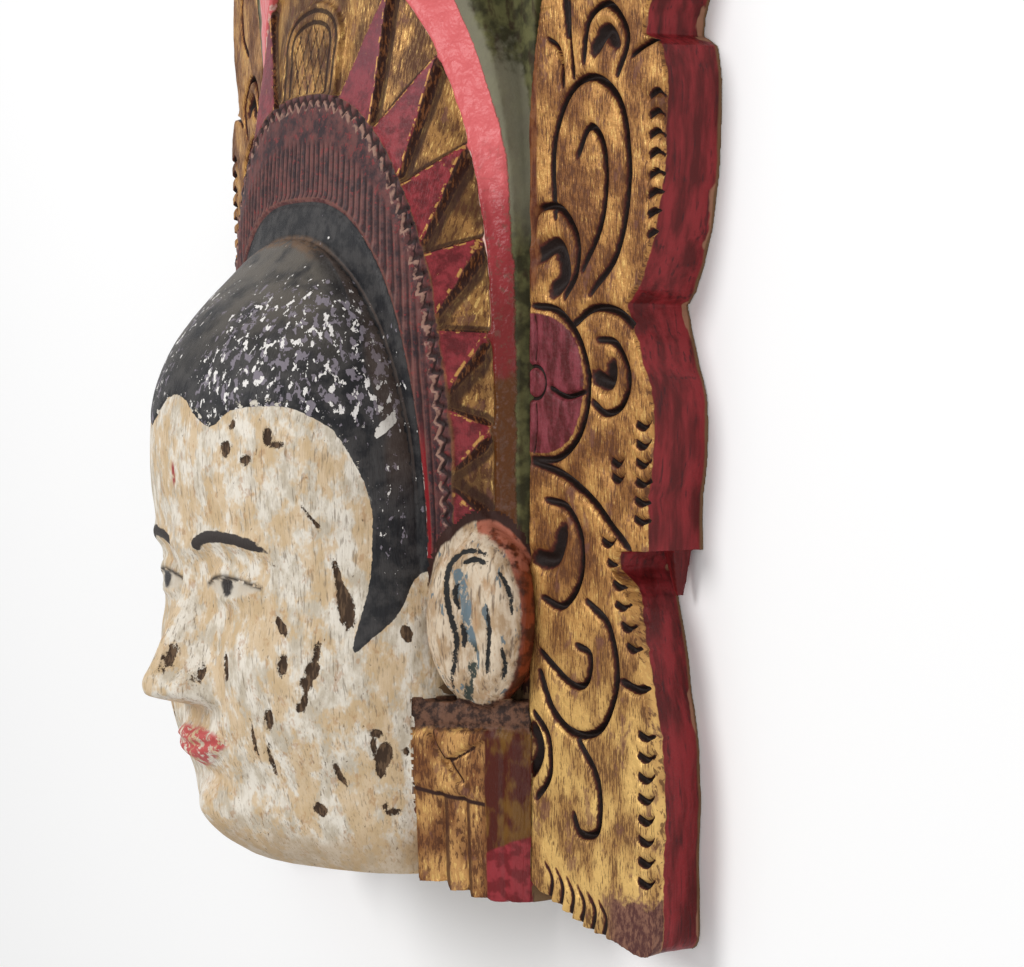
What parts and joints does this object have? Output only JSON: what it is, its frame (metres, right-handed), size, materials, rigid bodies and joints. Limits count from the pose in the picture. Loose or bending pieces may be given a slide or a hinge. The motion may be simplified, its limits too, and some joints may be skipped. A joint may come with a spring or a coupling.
{
  "type": "carved wooden mask",
  "caption": "Carved, painted and gilded wooden mask of a calm face with a stepped crown, ear tassels and scrollwork wings, flat hollowed back, lying face up.",
  "frame": {"origin": "on the floor under the middle of the mask's box, in the plane of its flat back", "axes": "+Z the way the face looks (up, as the mask lies on its back), +Y towards the top of the crown, +X towards the mask's own left wing"},
  "size_m": [0.4248, 0.54, 0.1676],
  "materials": {
    "painted_wood": "worn, flaking cream, black and dark red paint over carved wood",
    "gilded_wood": "worn dull gold over red ground on carved wood, with dark red edges"
  },
  "bodies": {
    "root": {"head_block": "painted_wood", "left_wing": "gilded_wood", "right_wing": "gilded_wood"}
  },
  "joints": []
}
